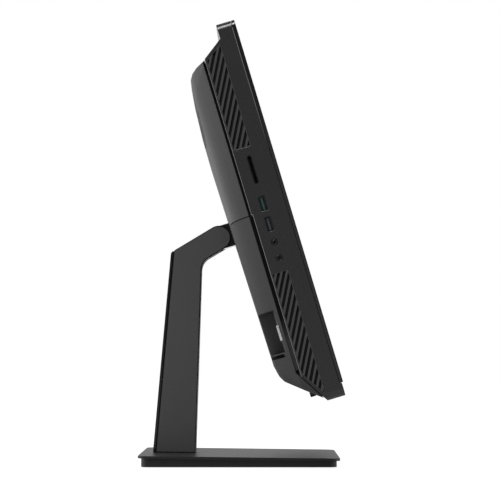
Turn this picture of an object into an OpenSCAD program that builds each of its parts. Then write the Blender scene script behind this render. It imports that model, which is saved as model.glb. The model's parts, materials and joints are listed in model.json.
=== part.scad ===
// All-in-one desktop computer on a tilting stand.
// Row frame: origin on the desk under the middle of the base, screen towards -Y, +Z up.
// Head frame: y is the depth from the front face, z runs up along the screen.

/* [Display head] */
// Backward lean of the head as it stands
tilt_deg = 16.7; // [4:0.1:19]
// Wall of the side frame
frame_wall = 2.2; // [1.8:0.1:2.6]
// Corner radius of the head seen from the front
corner_r = 7; // [4:0.5:10]
// Depth of the front bezel
bezel_t = 3.4; // [3.2:0.1:4]
// Face of the bezel in front of the screen
bezel_face = 1.8; // [1.4:0.1:2]
// Height of the set-back strip under the bezel
chin_h = 11.8; // [9:0.1:14]
// How far that strip lies behind the bezel face
chin_setback = 1.3; // [0.8:0.1:1.8]
// Depth of the frame along its top edge
crown_t = 17; // [16.4:0.1:17.8]
// Height of the step behind the top edge
crown_h = 13.6; // [11:0.1:15]
// Drop from the top edge to the foot of the sloping shoulder
shoulder_h = 27.3; // [26:0.1:29]
// Depth of the side walls beside the upper cover
frame_top_t = 35.8; // [35.4:0.1:36.2]
// Depth of the side walls beside the lower cover
frame_low_t = 34.7; // [34.3:0.1:35.1]
// Depth of the bottom wall
keel_t = 17.9; // [16.5:0.1:18]
// Height at which the sloping lower edge meets the rear edge
keel_h = 27.5; // [25:0.1:29]
// Gap that shows as the line between frame and bezel
bezel_seam = 0.3; // [0.2:0.05:0.4]

/* [Screen] */
// Width of the picture
screen_w = 476.6; // [460:0.2:480]
// Height of the picture
screen_h = 268.2; // [255:0.2:275]
// From the side edge of the head to the picture
screen_side = 16.7; // [16:0.1:26]
// From the top edge of the head to the picture
screen_top = 24.4; // [23:0.1:28]
// From the picture to the bottom edge of the head
screen_low = 59.8; // [57:0.2:70]
// Border of the screen module beside the picture
module_side = 9.5; // [8:0.1:10.5]
// Border of the screen module above and below the picture
module_end = 11.7; // [10:0.1:12]
// Thickness of the glass sheet
glass_t = 1.3; // [1:0.1:1.4]
// Thickness of the light guide and its films
guide_t = 4; // [3:0.1:5]
// Depth of the whole screen module behind the bezel face
module_t = 10.6; // [9:0.1:11]
// Radius of the camera lens hole
lens_r = 2.6; // [2:0.1:2.8]

/* [Rear cover] */
// Depth at which the rear cover starts
rim_t = 38.2; // [37.8:0.1:38.6]
// Wall of the rear cover
cover_wall = 2.2; // [1.8:0.1:2.6]
// Depth of the lower rear edge
heel_t = 54.6; // [54:0.1:55.4]
// Depth of the deepest line of the cover
bulge_t = 58.1; // [57.4:0.1:59]
// Drop from the top edge to that line
bulge_drop = 94.4; // [88:0.2:100]
// Gap at the line between upper and lower cover
parting_gap = 0.6; // [0.4:0.1:1]
// Thickness of the tongue that fits inside the frame
tongue_t = 1.8; // [1.4:0.1:2.2]
// Clearance of parts that are set into each other
fit = 0.25; // [0.15:0.05:0.35]

/* [Side vents] */
// Front edge of the vent openings
vent_t = 18; // [17.8:0.1:19]
// Border between a vent opening and the frame edge
vent_border = 0.9; // [0.8:0.1:1.8]
// Length of the upper vent below the top edge
vent_drop = 113.9; // [107:0.1:120]
// Top of the lower vent
vent_low_top = 123; // [114:0.5:124]
// Angle of the slats to the long edge
slat_angle = 28; // [20:1:40]
// Distance between slats
slat_pitch = 4.65; // [4.2:0.05:5.2]
// Width of a slot between slats
slot_w = 2.6; // [2:0.1:3]
// How far the grilles lie below the side face
vent_sink = 0.5; // [0.3:0.1:0.8]

/* [Side sockets] */
// Depth of the row of side sockets
port_t = 22.8; // [22.4:0.1:23.4]
// Height of the card slot
card_z = 217.5; // [216:0.5:219]
// Height of the upper bus socket
usb_upper_z = 185.8; // [184:0.5:188]
// Height of the lower bus socket
usb_lower_z = 166.5; // [166:0.5:168]
// Height of the headphone jack
phones_z = 149.7; // [149:0.1:151]
// Height of the microphone jack
mic_z = 135; // [134.5:0.1:136]
// Outside of a bus socket along the screen
usb_w = 13.1; // [12.9:0.1:13.4]
// Outside of a bus socket in depth
usb_h = 5.7; // [5.5:0.1:5.9]
// Metal of a bus socket
usb_wall = 0.35; // [0.3:0.05:0.5]
// Radius of a jack bore
jack_r = 1.8; // [1.75:0.05:1.85]
// Depth of a jack bore
jack_depth = 14; // [13:0.5:15]
// Length of the card slot
card_w = 24.6; // [24.2:0.1:25.2]
// Height of the card slot in depth
card_gap = 2.6; // [2.3:0.1:2.9]

/* [Rear sockets] */
// Lower edge of the socket recess
recess_z0 = 52.4; // [51.6:0.1:53.4]
// Upper edge of the socket recess
recess_z1 = 91.5; // [89:0.5:94]
// Depth of the recess floor
recess_t = 41; // [40.8:0.1:41.4]
// Inner end of the recess, measured from the middle
recess_x = 76; // [74:0.5:80]
// How far the rear sockets stand out of the recess floor
socket_out = 1.6; // [1.3:0.1:2.4]
// Middle height of the rear sockets
socket_z = 70.5; // [69.5:0.1:71.5]

/* [Hinge] */
// Height of the hinge axis on the head
hinge_h = 178.4; // [174:0.1:182]
// Row position of the hinge axis behind the origin
hinge_y = 20.7; // [18:0.1:24]
// Height of the hinge axis above the desk
hinge_z = 223; // [215:0.5:235]
// Radius of the hinge shaft
shaft_r = 4; // [3.6:0.1:4.4]
// Running clearance of the hinge shaft
shaft_play = 0.05; // [0.03:0.01:0.08]
// Gap between the end of the arm and the rear cover
arm_gap = 1.8; // [1.4:0.1:2.4]

/* [Neck] */
// Width of the neck
neck_w = 40; // [38:0.5:44]
// Wall of the neck shell
neck_wall = 2.6; // [2.2:0.1:3]
// Half height of the arm, and radius of its end
arm_r = 11.9; // [11.7:0.1:12.2]
// Angle at which the arm drops towards the back
arm_drop = 31; // [26:0.5:36]
// Rear edge of the neck at its foot
foot_rear = 85.4; // [80:0.1:88]
// Front edge of the neck at its foot
foot_front = 43.4; // [40:0.1:46]
// Forward lean of the rear edge
rear_lean = 5.1; // [3:0.1:6]
// Forward lean of the front edge
front_lean = 1.8; // [0.5:0.1:2.5]
// Radius of the outer bend
bend_outer_r = 4; // [3:0.5:6]
// Radius of the inner bend
bend_inner_r = 14; // [10:0.5:18]
// Thickness of the strip that closes the back of the neck
strip_t = 2.4; // [2:0.1:3]
// Thickness of a steel ear of the spine
ear_t = 2.8; // [2.4:0.1:3]
// Thickness of a friction washer
washer_t = 1.1; // [0.9:0.1:1.3]

/* [Base] */
// Width of the base
base_w = 220; // [200:1:240]
// Depth of the base
base_d = 193; // [188:1:205]
// Height of the base at the back
base_rear_h = 11.8; // [11:0.1:12.4]
// Height of the base at the front
base_front_h = 9.4; // [9:0.1:10]
// Corner radius of the base
base_r = 12; // [9:0.5:14]
// Thickness of the top plate
plate_t = 2.5; // [2.1:0.1:2.8]
// How far the top plate stands out over the tray
lip = 3.2; // [2.6:0.1:4]
// Side wall of the tray
tray_wall = 4; // [3:0.5:5]
// Thickness of the steel weight
weight_t = 3.8; // [3:0.1:4]
// Height of the rubber feet
foot_h = 1; // [0.8:0.1:1.2]
// Length of a rubber foot
foot_l = 26; // [20:1:32]
// Width of a rubber foot
foot_w = 9; // [7:0.5:12]

/* [Electronics] */
// Thickness of the inner steel plate
plate_core_t = 1.2; // [1:0.1:1.4]
// Thickness of a circuit board
board_t = 1.6; // [1.4:0.1:1.7]
// Length of the posts under the main board
post_h = 4.8; // [4.4:0.1:5]
// Width of the main board
main_board_w = 136; // [130:1:137]
// Height of the main board
main_board_h = 170; // [164:1:174]
// Side of the blower
blower_w = 76; // [72:1:77]
// Depth of the blower
blower_t = 16; // [15:0.5:16.5]
// Radius of the blower wheel
wheel_r = 30; // [28:0.5:31]
// Number of blower blades
blade_count = 21; // [17:1:27]
// Radius of the blower pin
pin_r = 1.5; // [1.3:0.1:1.7]
// Width of the flattened heat pipe
pipe_w = 8; // [6:0.5:10]
// Thickness of the flattened heat pipe
pipe_h = 3.2; // [2.5:0.1:4]
// Travel of the power button
button_travel = 1; // [0.6:0.1:1.1]
// Length of the power button
button_l = 14; // [12:0.5:15]
// Width of the power button
button_w = 5; // [4.5:0.1:5.5]

/* [Hidden] */
$fn = 48;
head_w = screen_w + 2 * screen_side;
head_h = screen_top + screen_h + screen_low;
xl = -head_w / 2;
grow = 40;
touch = 0.02;
groove_h = 3;
tongue_depth = 6;
screen_foam = 1.2;
recess_wall = 2;
rib_t = 1.2;

// Where the shoulder and the sloping lower edge run on the frame
shoulder_fall = (shoulder_h - crown_h) / (frame_top_t - crown_t);
keel_rise = keel_h / (frame_low_t - keel_t);
keel_gap = 0.9;
function shoulder_z(t) = head_h - crown_h - (t - crown_t) * shoulder_fall;
function shoulder_in(t) = shoulder_z(t) - frame_wall * sqrt(1 + shoulder_fall * shoulder_fall);
function keel_z(t) = (t - keel_t) * keel_rise;

// Rear face between the lower edge and the deepest line
heel_z = 40;
bulge_z = head_h - bulge_drop;
function rear_t(z) = heel_t + (bulge_t - heel_t) * (z - heel_z) / (bulge_z - heel_z);

// Layers behind the bezel face
screen_z = head_h - screen_top - screen_h / 2;
module_w = screen_w + 2 * module_side;
module_h = screen_h + 2 * module_end;
glass_w = screen_w + 12;
glass_h = screen_h + 12;
tray_t = 1;
core_t0 = bezel_face + module_t;
core_t1 = core_t0 + plate_core_t;
core_w = head_w - 40;
core_z0 = 40;
core_z1 = head_h - 20;
inner_x = head_w / 2 - frame_wall;

// Hinge
hinge_t = rear_t(hinge_h) + arm_r + arm_gap;
ear_x1 = neck_w / 2 - neck_wall - 0.2;
ear_x0 = ear_x1 - ear_t;
washer_x1 = ear_x0 - 0.05;
washer_x0 = washer_x1 - washer_t;
knuckle_x = washer_x0 - 0.15;
knuckle_r = arm_r - 0.4;
knuckle_clear = 1.4;
barrel_r = shaft_r + 3.5;
stem_x = knuckle_x - 4;
stem_h = 6;
flange_t = 3;
web_t = 2.5;
hat_t1 = rear_t(hinge_h) - 12;
hat_t0 = hat_t1 - web_t;
flange_t1 = hat_t1 + flange_t;
hat_w = 116;
hat_h = 96;
hat_wall = 2;
hat_foot = 14;
screw_pitch = 75;
mount_screw_r = 2;

// Base and neck outline in the row frame
base_rise = (base_rear_h - base_front_h) / base_d;
function base_z(y) = base_front_h + (y + base_d / 2) * base_rise;
hinge_at = [hinge_y, hinge_z];
arm_along = [cos(arm_drop), -sin(arm_drop)];
arm_up = [sin(arm_drop), cos(arm_drop)];
rear_up = [-sin(rear_lean), cos(rear_lean)];
front_up = [-sin(front_lean), cos(front_lean)];
neck_seam = 0.2;
neck_screw_y = (foot_front + foot_rear) / 2 - 1;
neck_screw_x = 7;
neck_screw_r = 2;
block_h = 14;

// Boards on the inner plate
main_x1 = -hat_w / 2 - 6;
main_x0 = main_x1 - main_board_w;
main_z0 = 52;
main_z1 = main_z0 + main_board_h;
main_t0 = core_t1 + post_h;
main_t1 = main_t0 + board_t;
post_r = 2.5;
side_board_t1 = port_t - usb_h / 2;
side_board_t0 = side_board_t1 - board_t;
side_board_x0 = xl + 5;
side_board_x1 = xl + 48;
side_board_z0 = mic_z - 9;
side_board_z1 = card_z + 19;
side_post_x = xl + 42;
rear_board_t1 = recess_t - 10;
rear_board_t0 = rear_board_t1 - board_t;
rear_board_x0 = xl + 15;
rear_board_x1 = -52;
rear_board_z0 = socket_z - 15;
rear_board_z1 = socket_z + 15;
rear_post_x0 = xl + 42;
rear_post_x1 = -56;
socket_t1 = recess_t + socket_out;
lan_x = xl + 30;
usb_pair_x = xl + 58;
video_x = xl + 88;
inlet_x = xl + 120;
lan_w = 16;
lan_h = 14.4;
usb_pair_w = 14.8;
video_w = 6;
video_h = 15;
inlet_w = 11;
inlet_bore_r = 2.9;
sockets = [
    [lan_x, lan_w, lan_h],
    [usb_pair_x, usb_pair_w, usb_w],
    [video_x, video_w, video_h],
    [inlet_x, inlet_w, inlet_w]
];

// Cooling
cpu_x = main_x0 + 68;
cpu_z = main_z0 + 108;
cpu_w = 37.5;
cpu_socket_w = 48;
cold_w = 44;
cpu_t1 = main_t1 + 4.4;
cold_t1 = cpu_t1 + 4;
fin_x0 = xl + 9;
fin_x1 = xl + 31;
fin_z0 = head_h - 107.4;
fin_h = 72;
fin_pitch = 3;
fin_t = 0.6;
fin_t1 = cold_t1;
pipe_x = (fin_x0 + fin_x1) / 2;
blower_x = fin_x1 + 2 + blower_w / 2;
blower_z = fin_z0 + fin_h / 2;
blower_wall = 1.6;
chamber_r = wheel_r + 3;
inlet_r = wheel_r - 10;
hub_r = 11;
blade_t = 0.9;
pipe_bend = 24;

// Cards on the main board
card_lift = 2.2;
memory_l = 68;
memory_d = 30;
memory_pitch = memory_d + 4;
stick_w = 22;
stick_l = 66;
stick_x = main_x0 + memory_l + 20;
radio_w = 20;
radio_l = 30;
radio_x = stick_x + stick_w + 3;

// Cover screws
cover_screw_up = head_h - 102.4;
cover_screw_low = 45;
cover_up_x = 120;
cover_low_x = 45;
boss_r = 4.6;
screw_seat_t = 24;

// Drive, speakers, power button
caddy_x0 = 88;
caddy_z0 = 68;
drive_w = 100;
drive_h = 70;
drive_t = 7;
speaker_x0 = 108;
speaker_l = 86;
button_x = head_w / 2 - 40;
button_t = 9;
button_out = 0.8;
flange_h = 1.25;
lens_z = head_h - frame_wall - 4;
bumper_x = 200;
bumper_l = 22;

// Helpers for outlines

function cross2(a, b) = a[0] * b[1] - a[1] * b[0];

function meet(p, d, q, e) = p + d * cross2(q - p, e) / cross2(d, e);

function arc(c, r, a0, a1, n) =
    [
        for (i = [0:n])
            let (a = a0 + (a1 - a0) * i / n)
            c + r * [cos(a), sin(a)]
    ];

function round_corner(a, b, c, r, n) =
    let (
        u = (a - b) / norm(a - b),
        v = (c - b) / norm(c - b),
        half = acos(u * v) / 2,
        m = b + (u + v) / norm(u + v) * r / sin(half),
        p = b + u * r / tan(half) - m,
        q = b + v * r / tan(half) - m,
        a0 = atan2(p[1], p[0]),
        turn = (atan2(q[1], q[0]) - a0 + 540) % 360 - 180
    )
    arc(m, r, a0, a0 + turn, n);

function inset(pts, k) =
    let (n = len(pts))
    [
        for (i = [0:n - 1])
            let (
                b = pts[i],
                u = (b - pts[(i + n - 1) % n]) / norm(b - pts[(i + n - 1) % n]),
                v = (pts[(i + 1) % n] - b) / norm(pts[(i + 1) % n] - b)
            )
            meet(b + k * [-u[1], u[0]], u, b + k * [-v[1], v[0]], v)
    ];

// Side outline of the neck: k moves it inwards, back moves the rear edge forwards, low deepens the foot
function neck_outline(k, back, low) =
    let (
        desk = [base_d, base_rear_h - base_front_h],
        ground = [0, base_z(0) - low],
        front = [foot_front + k / cos(front_lean), base_z(foot_front)],
        rear = [foot_rear - (k + back) / cos(rear_lean), base_z(foot_rear)],
        top = hinge_at + arm_up * (arm_r - k),
        under = hinge_at - arm_up * (arm_r - k),
        f = meet(front, front_up, ground, desk),
        a = meet(rear, rear_up, ground, desk),
        b = meet(rear, rear_up, top, arm_along),
        e = meet(front, front_up, under, arm_along)
    )
    concat(
        [f, a],
        round_corner(a, b, top, max(bend_outer_r - k, 1), 6),
        arc(hinge_at, arm_r - k, 90 - arm_drop, 270 - arm_drop, 24),
        round_corner(under, e, f, bend_inner_r + k, 10)
    );

module along_x(pts, x0, x1) {
    translate([x0, 0, 0])
        rotate([90, 0, 90])
            linear_extrude(height = x1 - x0)
                polygon(pts);
}

module along_y(y0, y1) {
    translate([0, y1, 0])
        rotate([90, 0, 0])
            linear_extrude(height = y1 - y0)
                children();
}

module along_z(z0, z1) {
    translate([0, 0, z0])
        linear_extrude(height = z1 - z0)
            children();
}

module box(x0, x1, y0, y1, z0, z1) {
    translate([x0, y0, z0])
        cube([x1 - x0, y1 - y0, z1 - z0]);
}

module rod_x(r, x0, x1, y, z) {
    translate([x0, y, z])
        rotate([0, 90, 0])
            cylinder(r = r, h = x1 - x0);
}

module rod_y(r, y0, y1, x, z) {
    translate([x, y0, z])
        rotate([-90, 0, 0])
            cylinder(r = r, h = y1 - y0);
}

module rod_z(r, z0, z1, x, y) {
    translate([x, y, z0])
        cylinder(r = r, h = z1 - z0);
}

// Rounded rectangle from z0 to z1, centred on x
module round_rect(w, z0, z1, r) {
    translate([-w / 2 + r, z0])
        square([w - 2 * r, z1 - z0]);
    translate([-w / 2, z0 + r])
        square([w, z1 - z0 - 2 * r]);
    for (x = [-w / 2 + r, w / 2 - r], z = [z0 + r, z1 - r])
        translate([x, z])
            circle(r = r);
}

module pill(l, w) {
    square([l - w, w], center = true);
    for (x = [-1, 1])
        translate([x * (l - w) / 2, 0])
            circle(r = w / 2);
}

module head_place() {
    translate([0, hinge_y, hinge_z])
        rotate([-tilt_deg, 0, 0])
            translate([0, -hinge_t, -hinge_h])
                children();
}

module both_sides() {
    children();
    mirror([1, 0, 0])
        children();
}

// Base

module base_plan(k) {
    translate([0, -base_d / 2])
        round_rect(base_w - 2 * k, k, base_d - k, max(base_r - k, 0.6));
}

module base_slice(drop0, drop1) {
    y = base_d / 2 + 1;
    along_x(
        [
            [-y, base_z(-y) - drop0],
            [y, base_z(y) - drop0],
            [y, base_z(y) - drop1],
            [-y, base_z(-y) - drop1]
        ],
        -base_w,
        base_w
    );
}

module base_corners() {
    for (x = [-1, 1], y = [-1, 1])
        translate([x * (base_w / 2 - 26), y * (base_d / 2 - 22), 0])
            children();
}

module neck_screw_rods(r, z0, z1) {
    for (x = [-1, 1])
        rod_z(r, z0, z1, x * neck_screw_x, neck_screw_y);
}

module base_cover() {
    color("#3a3b3d")
        difference() {
            intersection() {
                base_slice(plate_t, 0);
                along_z(0, grow)
                    base_plan(0);
            }
            neck_screw_rods(neck_screw_r + 0.2, 0, grow);
        }
}

module base_tray() {
    color("#242527")
        difference() {
            intersection() {
                base_slice(grow, plate_t);
                along_z(foot_h, grow)
                    base_plan(lip);
            }
            along_z(foot_h - 1, foot_h + weight_t)
                base_plan(lip + tray_wall);
            neck_screw_rods(neck_screw_r + 0.2, 0, grow);
            base_corners()
                rod_z(1.5, 0, foot_h + weight_t + 1.2, 0, 0);
        }
}

module base_weight() {
    color("#6f7276")
        difference() {
            along_z(foot_h, foot_h + weight_t)
                base_plan(lip + tray_wall + fit);
            neck_screw_rods(neck_screw_r + 0.2, 0, grow);
            neck_screw_rods(4.3, 0, foot_h + 1.5);
            base_corners() {
                rod_z(1.7, 0, grow, 0, 0);
                rod_z(3.4, 0, foot_h + 1.2, 0, 0);
            }
        }
}

module base_feet() {
    color("#1c1c1d")
        for (x = [-1, 1], y = [-1, 1])
            translate([x * (base_w / 2 - 48), y * (base_d / 2 - 17), 0])
                along_z(0, foot_h)
                    pill(foot_l, foot_w);
}

module base_screws() {
    color("#9a9da1") {
        base_corners() {
            rod_z(3.2, foot_h + 0.1, foot_h + 1.2, 0, 0);
            rod_z(1.5, foot_h + 1.1, foot_h + weight_t + 1.1, 0, 0);
        }
        neck_screw_rods(4, foot_h + 0.1, foot_h + 1.5);
        neck_screw_rods(neck_screw_r, foot_h + 1.4, base_z(neck_screw_y) + 10);
    }
}

// Neck and hinge

module neck_shell() {
    color("#2b2c2e")
        difference() {
            along_x(neck_outline(0, strip_t + neck_seam, 0), -neck_w / 2, neck_w / 2);
            along_x(neck_outline(neck_wall, -20, 20), -neck_w / 2 + neck_wall, neck_w / 2 - neck_wall);
            rod_x(knuckle_r + knuckle_clear, -knuckle_x - 0.5, knuckle_x + 0.5, hinge_y, hinge_z);
        }
}

module neck_back_strip() {
    color("#1b1c1d")
        difference() {
            along_x(neck_outline(0, 0, 0), -neck_w / 2, neck_w / 2);
            along_x(neck_outline(-20, strip_t + 20, 20), -neck_w, neck_w);
        }
}

module neck_spine() {
    side = neck_outline(neck_wall + 0.2, strip_t + neck_seam - neck_wall + 0.2, 0);
    floor_z = base_z(neck_screw_y);
    mid = (foot_front + foot_rear) / 2;
    color("#8b8e92")
        difference() {
            union() {
                both_sides()
                    along_x(side, ear_x0, ear_x1);
                intersection() {
                    along_x(side, -ear_x0 - 1, ear_x0 + 1);
                    union() {
                        box(-grow, grow, 0, base_d, 0, floor_z + block_h);
                        box(-grow, grow, mid - 6, mid - 3, 0, hinge_z - 46);
                    }
                }
            }
            rod_x(shaft_r, -grow, grow, hinge_y, hinge_z);
            neck_screw_rods(neck_screw_r, 0, floor_z + 10.5);
        }
}

module hinge_shaft() {
    color("#b9bcc0")
        rod_x(shaft_r, -ear_x1, ear_x1, hinge_y, hinge_z);
}

module friction_washers() {
    color("#c2a35a")
        both_sides()
            difference() {
                rod_x(shaft_r + 4.4, washer_x0, washer_x1, hinge_y, hinge_z);
                rod_x(shaft_r + shaft_play, 0, grow, hinge_y, hinge_z);
            }
}

// Front

module outline_face(y0, y1, k) {
    along_y(y0, y1)
        round_rect(head_w - 2 * k, k, head_h - k, corner_r - k);
}

module front_bezel() {
    low = chin_h + bezel_seam;
    rib_x = head_w / 2 - 1.2;
    color("#1a1b1c")
        head_place() {
            difference() {
                intersection() {
                    outline_face(0, bezel_t - bezel_seam, 0);
                    box(-head_w, head_w, -1, grow, low, head_h + 1);
                }
                box(-screen_w / 2, screen_w / 2, -1, grow,
                    screen_z - screen_h / 2, screen_z + screen_h / 2);
                box(-inner_x, inner_x, bezel_face, grow, low + 2, head_h - frame_wall);
                rod_y(lens_r, -1, grow, 0, lens_z);
            }
            for (x = [-rib_x, rib_x], z = [60:70:head_h - 30])
                box(x - 0.8, x + 0.8, bezel_face, bezel_t, z, z + 10);
        }
}

module screen_glass() {
    color("#0b0c0e")
        head_place()
            box(-glass_w / 2, glass_w / 2, bezel_face, bezel_face + glass_t,
                screen_z - glass_h / 2, screen_z + glass_h / 2);
}

module light_guide() {
    color("#d9dcdd")
        head_place()
            box(-glass_w / 2, glass_w / 2, bezel_face + glass_t, bezel_face + glass_t + guide_t,
                screen_z - glass_h / 2, screen_z + glass_h / 2);
}

// Pressed steel pan with ribs that carry the light guide
module screen_tray() {
    guide_back = bezel_face + glass_t + guide_t;
    z0 = screen_z - module_h / 2;
    z1 = screen_z + module_h / 2;
    color("#8e9194")
        head_place() {
            difference() {
                box(-module_w / 2, module_w / 2, bezel_face, core_t0, z0, z1);
                box(-module_w / 2 + tray_t, module_w / 2 - tray_t, 0, core_t0 - tray_t,
                    z0 + tray_t, z1 - tray_t);
            }
            for (x = [-180:90:180])
                box(x - 2, x + 2, guide_back, core_t0 - tray_t / 2, z0 + tray_t / 2, z1 - tray_t / 2);
        }
}

module screen_rails() {
    color("#9a9da1")
        head_place()
            both_sides()
                box(module_w / 2, inner_x, bezel_face + 4, bezel_face + 7,
                    screen_z - 110, screen_z + 110);
}

module webcam_module() {
    color("#141516")
        head_place() {
            box(-22, 22, bezel_face, bezel_face + 3, lens_z - 3.2, lens_z + 3.2);
            rod_y(lens_r - 0.2, 0.5, bezel_face + 1, 0, lens_z);
        }
}

// Side frame and vents

upper_vent = [
    [vent_t, head_h - vent_drop],
    [frame_top_t - vent_border, head_h - vent_drop],
    [frame_top_t - vent_border, shoulder_z(frame_top_t - vent_border) - vent_border - 1.8],
    [vent_t, shoulder_z(vent_t) - vent_border - 1.8]
];

lower_vent = [
    [vent_t, max(keel_z(vent_t) + vent_border + 2.2, corner_r - 2)],
    [frame_low_t - vent_border, keel_z(frame_low_t - vent_border) + vent_border + 2.2],
    [frame_low_t - vent_border, vent_low_top],
    [vent_t, vent_low_top]
];

module frame_solid() {
    along_x(
        [
            [chin_setback, 0],
            [keel_t, 0],
            [frame_low_t, keel_h],
            [frame_low_t, hinge_h],
            [frame_top_t, hinge_h],
            [frame_top_t, head_h - shoulder_h],
            [crown_t, head_h - crown_h],
            [crown_t, head_h],
            [bezel_t, head_h],
            [bezel_t, chin_h],
            [chin_setback, chin_h]
        ],
        -head_w,
        head_w
    );
}

module frame_room() {
    t1 = frame_top_t + 10;
    t2 = crown_t - frame_wall;
    along_x(
        [
            [chin_setback + frame_wall, frame_wall],
            [t1, frame_wall],
            [t1, shoulder_in(t1)],
            [t2, shoulder_in(t2)],
            [t2, head_h - frame_wall],
            [0, head_h - frame_wall],
            [0, chin_h],
            [chin_setback + frame_wall, chin_h]
        ],
        -head_w,
        head_w
    );
}

module speaker_slots() {
    for (i = [0:7])
        translate([speaker_x0 + 8 + i * 10, button_t, 0])
            along_z(-1, frame_wall + 1)
                pill(7, 1.6);
}

module side_frame() {
    color("#2f3032")
        head_place()
            difference() {
                intersection() {
                    frame_solid();
                    outline_face(0, grow * 2, 0);
                }
                intersection() {
                    frame_room();
                    outline_face(-1, grow * 2, frame_wall);
                }
                for (v = [upper_vent, lower_vent])
                    along_x(v, -head_w, head_w);
                translate([xl, port_t, card_z])
                    rotate([0, 90, 0])
                        along_z(-1, frame_wall + 1)
                            pill(card_w + 2, card_gap + 1.6);
                for (z = [usb_upper_z, usb_lower_z])
                    box(xl - 1, xl + frame_wall + 1, port_t - usb_h / 2 - fit, port_t + usb_h / 2 + fit,
                        z - usb_w / 2 - fit, z + usb_w / 2 + fit);
                for (z = [phones_z, mic_z])
                    rod_x(jack_r + 1.1 + fit, xl - 1, xl + frame_wall + 1, port_t, z);
                both_sides()
                    speaker_slots();
                translate([button_x, button_t, 0])
                    along_z(-1, frame_wall + 1)
                        pill(button_l + 2 * fit, button_w + 2 * fit);
            }
}

// Slanted slats in a rim that plugs the window of the frame
module vent_grille(window) {
    edge = inset(window, 0.1);
    core = inset(window, 0.8);
    z_low = min([for (p = window) p[1]]);
    z_top = max([for (p = window) p[1]]);
    rows = ceil((z_top - z_low) * sin(slat_angle) / slat_pitch / 2) + 4;
    difference() {
        along_x(edge, xl + vent_sink, xl + frame_wall);
        intersection() {
            along_x(core, xl - 1, xl + frame_wall + 1);
            translate([xl, (vent_t + frame_low_t) / 2, (z_low + z_top) / 2])
                rotate([slat_angle, 0, 0])
                    for (i = [-rows:rows])
                        translate([frame_wall / 2, i * slat_pitch, 0])
                            cube([frame_wall + 2, slot_w, 4 * grow], center = true);
        }
    }
}

module left_grilles() {
    color("#3a3b3d")
        head_place()
            for (v = [upper_vent, lower_vent])
                vent_grille(v);
}

module right_grilles() {
    color("#3a3b3d")
        head_place()
            mirror([1, 0, 0])
                for (v = [upper_vent, lower_vent])
                    vent_grille(v);
}

// Thin foam that lies behind the slats
module dust_screen(window) {
    intersection() {
        along_x(inset(window, -1.2), xl + frame_wall, xl + frame_wall + screen_foam);
        box(-head_w, head_w, 0, frame_low_t - 0.2, corner_r, head_h);
        frame_room();
    }
}

module left_dust_screens() {
    color("#0d0d0e")
        head_place()
            for (v = [upper_vent, lower_vent])
                dust_screen(v);
}

module right_dust_screens() {
    color("#0d0d0e")
        head_place()
            mirror([1, 0, 0])
                for (v = [upper_vent, lower_vent])
                    dust_screen(v);
}

// Rear covers

// Rounded sections of the cover: depth, lower edge, drop from the top, inset from the side, corner radius
// and, where the upper corners are sharper, their own radius
rear_rings = [
    [keel_t + keel_gap + 0.2, 1.7, shoulder_h + 4, 0.6, 6],
    [rim_t - 1.4, 16.05, shoulder_h + 0.8, 0.3, 6, 3],
    [heel_t - 9.6, 22.7, shoulder_h + 3, 11, 12],
    [heel_t - 4.6, 26.8, shoulder_h + 5.7, 20.5, 17],
    [heel_t - 1.6, 32, shoulder_h + 9.1, 31, 22],
    [heel_t, heel_z, shoulder_h + 16.6, 41, 26],
    [(heel_t + 1.2 * bulge_t) / 2.2, 160, shoulder_h + 32.1, 60, 34],
    [bulge_t, bulge_z - 4, bulge_drop - 4, 80, 3]
];

module rear_form(k) {
    hull()
        for (ring = rear_rings, sx = [-1, 1], low = [0, 1]) {
            r = max((low == 0 && len(ring) > 5 ? ring[5] : ring[4]) - k, 0.6);
            z = low == 1 ? ring[1] + k + r : head_h - ring[2] - k - r;
            translate([sx * (head_w / 2 - ring[3] - k - r), ring[0] - k, z])
                rotate([90, 0, 0])
                    cylinder(r = r, h = 0.05, $fn = 32);
        }
}

// What lies in front of the cover: the frame with its gap
module frame_side() {
    along_x(
        [
            [-grow, -grow],
            [keel_t + keel_gap, -grow],
            [keel_t + keel_gap, 0],
            [rim_t, (rim_t - keel_t - keel_gap) * keel_rise],
            [rim_t, head_h + grow],
            [-grow, head_h + grow]
        ],
        -head_w,
        head_w
    );
}

tongue_in = 5;
tongue_x = inner_x - fit - tongue_in;
tongue_z = shoulder_in(frame_top_t) - fit;
tongue_z0 = keel_h + 6;
lip_sink = 0.2;
lip_x = head_w / 2 - 1.2;
keel_rib_x = tongue_x - 4;

// Rim that thickens the front edge of the shell, with the tongue on it
module cover_rim() {
    difference() {
        box(-head_w, head_w, rim_t - 1, rim_t + 2.4, tongue_z0, head_h);
        box(-tongue_x + tongue_t + 0.4, tongue_x - tongue_t - 0.4, 0, 2 * grow,
            0, tongue_z - tongue_t - 0.4);
    }
}

module cover_tongue() {
    difference() {
        box(-tongue_x, tongue_x, rim_t - tongue_depth, rim_t + 1.2, tongue_z0 + 0.2, tongue_z);
        box(-tongue_x + tongue_t, tongue_x - tongue_t, 0, 2 * grow, 0, tongue_z - tongue_t);
        for (x = [-1, 1])
            translate([x * tongue_x, 0, tongue_z])
                rotate([0, 45, 0])
                    cube([5, 4 * grow, 5], center = true);
    }
}

// Lip that fills the groove behind the shoulder
module shoulder_lip() {
    t0 = frame_top_t + 0.3;
    t1 = rim_t + 0.5;
    along_x(
        [
            [t0, tongue_z - tongue_t],
            [t1, tongue_z - tongue_t],
            [t1, shoulder_z(t1) - lip_sink],
            [t0, shoulder_z(t0) - lip_sink]
        ],
        -tongue_x,
        tongue_x
    );
    along_x(
        [
            [t0, shoulder_z(t0) - lip_sink - 0.8],
            [t1, shoulder_z(t1) - lip_sink - 0.8],
            [t1, shoulder_z(t1) - lip_sink],
            [t0, shoulder_z(t0) - lip_sink]
        ],
        -lip_x,
        lip_x
    );
}

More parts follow.
